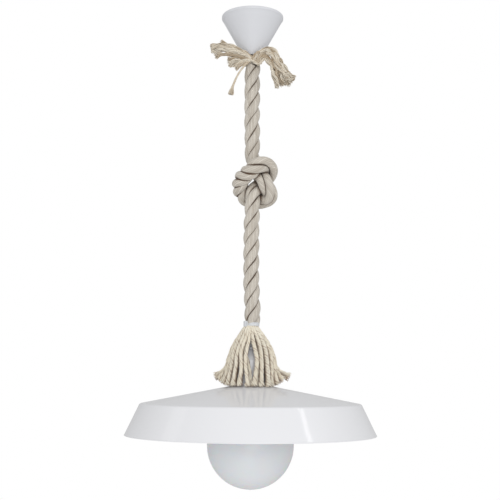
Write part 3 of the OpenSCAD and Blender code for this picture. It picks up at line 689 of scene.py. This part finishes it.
    # right hank: a knuckle, then a wide wavy end that turns up at its outer edge
    locks([(10, -18, -60, 3.2), (18, -20, -57.5, 4.6), (25, -20.5, -58.5, 5.4), (31, -20, -64, 6.0), (35.5, -19.5, -72, 6.4), (39.5, -19, -81, 7.0), (44, -18.5, -90, 8.0), (49.5, -18, -100, 10.0), (53, -18, -107.5, 11.4)], 15, 460, 1.8, 12, 1.6, 2.5, 7.0, 1.9)
    locks([(11, -18, -67, 2.6), (19, -19.5, -68, 4.0), (26, -20, -75, 5.0), (31, -19.5, -85, 5.8), (35.0, -19, -97, 6.8), (39.5, -18.5, -111.5, 8.2)], 9, 461, 1.8, 12, 1.5, 2.5, 7.0, 1.7)
    locks([(20, -22, -61, 2.4), (28, -24, -66, 3.4), (35, -24, -76, 4.0), (41, -23.5, -87, 4.4), (49, -22.5, -95.5, 4.6), (60.5, -21.5, -100.5, 4.8)], 6, 462, 1.7, 12, 1.3, 2.5, 3.0, 1.9)
    return lines, tones, painted_shades, (band, left_a, left_b, tail)


lines, tones, painted_shades, marks = tie()
band, left_a, left_b, tail = marks
parts = [
    ("tie_wraps", 0, band, "tie_band"),
    ("tie_left_hank", band + 3 * 0, left_a, "tie_hank_left"),
    ("tie_left_fan", left_a, left_b, "tie_fan_left"),
    ("tie_single_tail", left_b, tail, "tie_tail"),
    ("tie_right_hank", tail, len(lines), "tie_hank_right"),
]
for name, i, j, node in parts:
    ob = tubes(name, lines[i:j], 5, tones[i:j], painted_shades[i:j])
    put(ob, M_TIE, "cup", node, slot="tie_yarn")

# ------------------------------------------------------------------ ceiling cup
cup_profile = rounded(
    [(44.3, 0.0), (44.9, -0.8), (44.9, -3.9), (44.0, -4.6), (13.5, -60.0), (12.9, -60.9), (12.35, -60.8), (12.35, -57.6), (13.0, -56.4), (41.7, -4.4), (42.5, -3.6), (42.5, 0.0)],
    [0.4, 0.5, 0.5, 0.6, 0.8, 0.4, 0.2, 0.3, 0.4, 0.5, 0.3, 0.3], 4,
)
cup = lathe("ceiling_cup_shell", cup_profile, 160)
recalc(cup)
put(cup, M_CUP, "cup", "ceiling_cup", slot="cup_plastic")

# ------------------------------------------------------------------ shade
Z_RIM, Z_RIDGE, Z_TOP = -603.0, -560.0, -535.0
k = 25.0 / (153.5 - 24.0)
shade_outer = [
    (20.1, Z_TOP), (24.0, Z_TOP), (153.5, Z_RIDGE), (173.35, Z_RIM + 1.5), (174.0, Z_RIM + 0.9), (173.9, Z_RIM + 0.1), (172.6, Z_RIM),
    (171.9, Z_RIM + 0.8), (172.1, Z_RIM + 1.7), (152.6, Z_RIDGE - 1.0), (24.5, Z_TOP - 0.9), (20.1, Z_TOP - 0.9),
]
shade = lathe("shade_dish", rounded(shade_outer, [0.2, 3.0, 4.6, 1.2, 0.6, 0.6, 0.6, 0.4, 0.8, 4.0, 3.0, 0.2], 9), 256)
recalc(shade)
put(shade, M_SHADE, "pendant", "shade", slot="shade_enamel")

# ------------------------------------------------------------------ globe bulb
Z_G, R_G = -616.7, 60.0


def globe_outline():
    out = [(0.0, Z_G - R_G - 0.75), (0.7, Z_G - R_G - 0.7), (1.5, Z_G - R_G - 0.25), (3.0, Z_G - math.sqrt(R_G**2 - 9.0))]
    for t in np.linspace(-math.radians(85), math.radians(66), 90):
        out.append((R_G * math.cos(t), Z_G + R_G * math.sin(t)))
    out += [(22.0, -560.4), (19.2, -557.6), (17.4, -554.0), (16.6, -550.5), (16.5, -548.0)]
    inner = []
    for t in np.linspace(-math.radians(89.5), math.radians(70), 60):
        inner.append(((R_G - 1.6) * math.cos(t), Z_G + (R_G - 1.6) * math.sin(t)))
    inner += [(17.6, -558.5), (15.6, -554.0), (14.9, -548.0)]
    return out + inner[::-1] + [(0.0, Z_G - R_G + 1.6)]


globe = lathe("globe_opal", globe_outline(), 192, close=False)
recalc(globe)
put(globe, M_OPAL, "bulb", "bulb_globe", slot="opal_glass")


# ------------------------------------------------------------------ threads and small parts
def thread(name, r0, r1, z0, z1, pitch, sides=96, wall=0.5, inner=None, round_thread=True):
    """A sleeve with a real helical thread on its outside; r0 is the root and r1 the crest."""
    n = int((z1 - z0) / pitch * 14)
    z = np.linspace(z0, z1, n)
    a = 2 * np.pi * np.arange(sides) / sides
    ph = 2 * np.pi * z[:, None] / pitch - a[None]
    fade = np.clip(np.minimum(z - z0, z1 - z) / (0.5 * pitch), 0, 1)[:, None]
    wave = 0.5 + 0.5 * np.cos(ph)
    if not round_thread:
        wave = np.clip(wave * 2.2 - 0.6, 0, 1)
    rad = r0 + (r1 - r0) * wave * fade
    outer = np.stack([rad * np.cos(a), rad * np.sin(a), np.repeat(z[:, None], sides, 1)], -1)
    ri = inner if inner is not None else r0 - wall
    zi = np.array([z1, z0])
    inn = np.stack([np.full((2, sides), ri) * np.cos(a), np.full((2, sides), ri) * np.sin(a), np.repeat(zi[:, None], sides, 1)], -1)
    V = np.concatenate([outer, inn]).reshape(-1, 3) * MM
    rows = n + 2
    q = grid_quads(rows, sides)
    j = np.arange(sides)
    kk = (j + 1) % sides
    top = (rows - 1) * sides
    q = np.vstack([q, np.stack([top + j, top + kk, kk, j], -1)])
    ob = build(name, V, q)
    recalc(ob)
    return ob


cap = thread("bulb_cap_thread", 12.25, 13.0, -541.5, -522.3, 3.63, inner=11.6)
put(cap, M_NICKEL, "bulb", "bulb_cap", slot="nickel_brass")
ins = lathe("bulb_cap_glass", rounded([(5.2, -518.4), (6.4, -517.8), (11.5, -522.0), (12.2, -522.3), (5.2, -522.3)], [0.3, 0.5, 0.5, 0.1, 0.1], 4), 96)
recalc(ins)
put(ins, M_BLACK, "bulb", "bulb_insulator", slot="black_glass")
tip = lathe("bulb_cap_contact", [(0.0, -516.7), (1.6, -516.75), (3.0, -517.1), (4.2, -517.8), (4.9, -518.3), (0.0, -518.3)], 64, close=False)
recalc(tip)
put(tip, M_SOLDER, "bulb_lift", "bulb_tip", slot="solder")
collar = lathe("bulb_collar_ring", rounded([(13.55, -540.1), (13.55, -542.7), (16.5, -547.6), (16.5, -548.0), (12.0, -548.0), (12.0, -541.9), (13.1, -541.8), (13.1, -540.1)], [0.3, 0.8, 0.2, 0.1, 0.1, 0.1, 0.1, 0.1], 4), 128)
recalc(collar)
put(collar, M_COLLAR, "bulb", "bulb_collar", slot="collar_plastic")
post = lathe("led_post", rounded([(0.0, -580.0), (14.0, -580.0), (14.0, -578.2), (6.0, -577.4), (5.4, -552.0), (11.4, -545.2), (11.4, -542.2), (0.0, -542.2)], [0, 0.5, 0.5, 1.0, 2.0, 0.4, 0.4, 0], 4), 96, close=False)
recalc(post)
put(post, M_ALU, "bulb", "bulb_led_post", slot="aluminium")

# lampholder
skirt = lathe("holder_skirt_body", rounded([(20.5, -515.2), (20.5, -531.0), (23.0, -531.4), (23.0, -535.0), (19.0, -535.0), (15.7, -535.0), (15.7, -515.0), (19.8, -515.0)], [0.3, 0.6, 0.6, 0.4, 0, 0, 0.3, 0.4], 4), 128)
recalc(skirt)
skirt_thread = thread("holder_skirt_thread", 19.0, 19.75, -545.0, -535.0, 3.0, inner=15.7, round_thread=False)
skirt = join("holder_skirt_body", [skirt, skirt_thread])
put(skirt, M_HOLDER, "pendant", "holder_skirt", slot="holder_plastic")
cap_prof = rounded([(20.5, -515.0), (20.5, -500.8), (19.6, -498.6), (17.2, -494.8), (9.4, -485.4), (7.0, -485.0), (5.1, -485.0), (5.1, -487.0), (15.2, -496.6), (18.4, -501.0), (18.4, -515.0)], [0.3, 3.0, 1.6, 3.0, 2.4, 0.5, 0.2, 0.4, 2, 1, 0.2], 6)
hcap = lathe("holder_cap_dome", cap_prof, 128)
# grip ribs round the cap
me = hcap.data
co = np.zeros(len(me.vertices) * 3)
me.vertices.foreach_get("co", co)
co = co.reshape(-1, 3)
rr = np.hypot(co[:, 0], co[:, 1])
aa = np.arctan2(co[:, 1], co[:, 0])
sel = (rr > 0.0203) & (co[:, 2] < -0.5009)
f = 1 - 0.00018 / 0.0205 * (0.5 + 0.5 * np.cos(aa * 48)) * sel
co[:, 0] *= f
co[:, 1] *= f
me.vertices.foreach_set("co", co.ravel())
recalc(hcap)
put(hcap, M_HOLDER, "pendant", "holder_cap", slot="holder_plastic")
grip = lathe("cord_grip_body", rounded([(7.0, -485.0), (7.0, -481.2), (5.2, -480.8), (5.0, -477.2), (3.1, -477.0), (3.1, -492.6), (5.0, -492.8), (5.0, -485.0)], [0.2, 0.7, 0.3, 0.6, 0.4, 0.2, 0.2, 0.1], 4), 64)
recalc(grip)
put(grip, M_HOLDER, "pendant", "cord_grip", slot="holder_plastic")
insert = lathe("holder_ceramic", rounded([(0.0, -507.0), (14.8, -507.0), (15.5, -507.6), (15.5, -516.0), (0.0, -516.0)], [0, 0.4, 0.4, 0.4, 0], 4), 96, close=False)
recalc(insert)
put(insert, M_CERAMIC, "pendant", "holder_insert", slot="steatite")
shell = thread("holder_screw_shell", 13.95, 14.6, -539.6, -516.6, 3.63, inner=13.45)
put(shell, M_BRASS, "pendant", "screw_shell", slot="brass")
term = []
for sgn in (-1, 1):
    t = lathe(f"term{sgn}", rounded([(0.0, -505.8), (1.6, -505.8), (2.0, -506.2), (2.0, -511.0), (0.0, -511.0)], [0, 0.2, 0.2, 0.1, 0], 3), 32, close=False)
    slot_cut = bevelled_box(f"termslot{sgn}", (3.2, 0.6, 0.25), (0, 0, -505.75), 0.08, 1)
    t = join(f"term{sgn}", [t, slot_cut])
    for v in t.data.vertices:
        v.co.x += sgn * 9 * MM
    recalc(t)
    term.append(t)
term = join("holder_terminal_screws", term)
put(term, M_STEEL, "pendant", "holder_terminals", slot="zinc_steel")

# shade ring with grip lobes; its washer stays the CAD node
ring = lathe("shade_ring_body", rounded([(19.9, -536.0), (26.4, -536.0), (27.0, -536.6), (27.0, -540.9), (26.2, -541.5), (20.6, -541.5), (19.9, -540.8)], [0.2, 0.5, 0.4, 0.5, 0.5, 0.5, 0.2], 4), 240)
me = ring.data
co = np.zeros(len(me.vertices) * 3)
me.vertices.foreach_get("co", co)
co = co.reshape(-1, 3)
rr = np.hypot(co[:, 0], co[:, 1])
aa = np.arctan2(co[:, 1], co[:, 0])
dip = np.clip(1 - ((aa * 12 / (2 * np.pi) + 0.5) % 1 - 0.5) ** 2 / 0.012, 0, 1)
f = 1 - (rr > 0.024) * dip * 0.0011 / 0.027
co[:, 0] *= f
co[:, 1] *= f
co[:, 2] -= 0.001
me.vertices.foreach_set("co", co.ravel())
recalc(ring)
put(ring, M_HOLDER, "ring", "shade_ring", slot="holder_plastic")

# ------------------------------------------------------------------ cable tie
def cable_tie():
    n = 72
    a = np.linspace(0, 2 * np.pi, n, endpoint=False)
    sec = np.array([(0.0, -2.3), (1.0, -2.4), (1.25, -2.1), (1.3, -0.6), (1.18, -0.5), (1.18, 0.5), (1.3, 0.6), (1.25, 2.1), (1.0, 2.4), (0.0, 2.3)])
    V = []
    for t in a:
        wave = 8.35 + 0.2 * math.cos(3 * t + 0.6)
        for dr, dz in sec:
            V.append((2 + (wave + dr) * math.cos(t), (wave + dr) * math.sin(t), -450 + dz))
    V = np.asarray(V) * MM
    m = len(sec)
    q = []
    for i in range(n):
        for j in range(m):
            i2, j2 = (i + 1) % n, (j + 1) % m
            q.append((i * m + j, i * m + j2, i2 * m + j2, i2 * m + j))
    strap = build("tie_strap", V, q)
    recalc(strap)
    rot = Matrix.Rotation(math.radians(-150), 4, "Z")
    d = Vector((math.cos(math.radians(-150)), math.sin(math.radians(-150)), 0))
    head = bevelled_box("tie_head", (4.4, 5.6, 8.0), (2 + 11.0 * d.x, 11.0 * d.y, -449.6), 0.9, 4, rot)
    tail = bevelled_box("tie_tail_stub", (1.3, 1.6, 4.6), (2 + 11.0 * d.x + 2.0, 11.0 * d.y - 3.6, -449.6), 0.3, 2, rot)
    return join("cable_tie_piece", [strap, head, tail])


put(cable_tie(), M_NYLON, "pendant", "cable_tie", slot="white_nylon")

# ------------------------------------------------------------------ carried-over CAD nodes
KEEP = {
    "ceiling_bracket": M_STEEL, "ceiling_hook": M_STEEL, "hook_nut": M_STEEL, "rope_clamp": M_STEEL, "clamp_screw": M_STEEL,
    "terminal_block": M_NYLON, "terminal_inserts": M_BRASS, "terminal_screws": M_STEEL, "flex_top": M_PVC, "flex_top_cores": M_CORE,
    "flex_bottom": M_PVC, "grip_screw": M_STEEL, "centre_contact": M_BRASS, "side_contact": M_BRASS, "ring_washer": M_HOLDER,
}
for node, mat in KEEP.items():
    ob = bpy.data.objects.get(node)
    if ob is None:
        continue
    for s in ob.material_slots:
        s.material = mat
    if not ob.material_slots:
        ob.data.materials.append(mat)

# ------------------------------------------------------------------ stage and light
def plane(name, size, loc, rot=(0, 0, 0)):
    s = size / 2
    me = bpy.data.meshes.new(name)
    me.from_pydata([(-s, -s, 0), (s, -s, 0), (s, s, 0), (-s, s, 0)], [], [(0, 1, 2, 3)])
    ob = bpy.data.objects.new(name, me)
    bpy.context.scene.collection.objects.link(ob)
    ob.location = loc
    ob.rotation_euler = rot
    return ob


M_STAGE = material("studio_white", (0.93, 0.93, 0.93), 0.9, noise=(1.5, 0.995, 2), bump=(40, 0.0001, 0.05))
floor = plane("studio_floor", 9, (0, 0, -2.4))
floor.data.materials.append(M_STAGE)

world = bpy.data.worlds.new("studio_world")
bpy.context.scene.world = world
world.use_nodes = True
wt = world.node_tree
bg = wt.nodes["Background"]
bg.inputs["Color"].default_value = (1, 1, 1, 1)
bg.inputs["Strength"].default_value = 0.6
seen = wt.nodes.new("ShaderNodeBackground")
seen.inputs["Color"].default_value = (1, 1, 1, 1)
seen.inputs["Strength"].default_value = 1.0
ray = wt.nodes.new("ShaderNodeLightPath")
both = wt.nodes.new("ShaderNodeMixShader")
wt.links.new(ray.outputs["Is Camera Ray"], both.inputs["Fac"])
wt.links.new(bg.outputs["Background"], both.inputs[1])
wt.links.new(seen.outputs["Background"], both.inputs[2])
wt.links.new(both.outputs["Shader"], wt.nodes["World Output"].inputs["Surface"])


def area(name, loc, target, size, power, size_y=None, colour=(1, 1, 1)):
    d = bpy.data.lights.new(name, "AREA")
    d.energy = power
    d.color = colour
    d.size = size
    if size_y:
        d.shape = "RECTANGLE"
        d.size_y = size_y
    ob = bpy.data.objects.new(name, d)
    bpy.context.scene.collection.objects.link(ob)
    ob.location = loc
    ob.rotation_euler = (Vector(target) - Vector(loc)).to_track_quat("-Z", "Y").to_euler()
    return ob


area("key_front", (0.25, -3.2, -0.1), (0, 0, -0.4), 1.8, 34)
area("strip_right", (1.43, -0.83, 0.71), (0, 0, -0.5), 0.14, 2.9, 1.0)
area("strip_left", (-1.76, -0.2, 0.53), (0, 0, -0.5), 0.5, 1.6, 1.0)
area("low_front", (-0.3, -1.8, -2.1), (0, 0, -0.6), 1.2, 5)
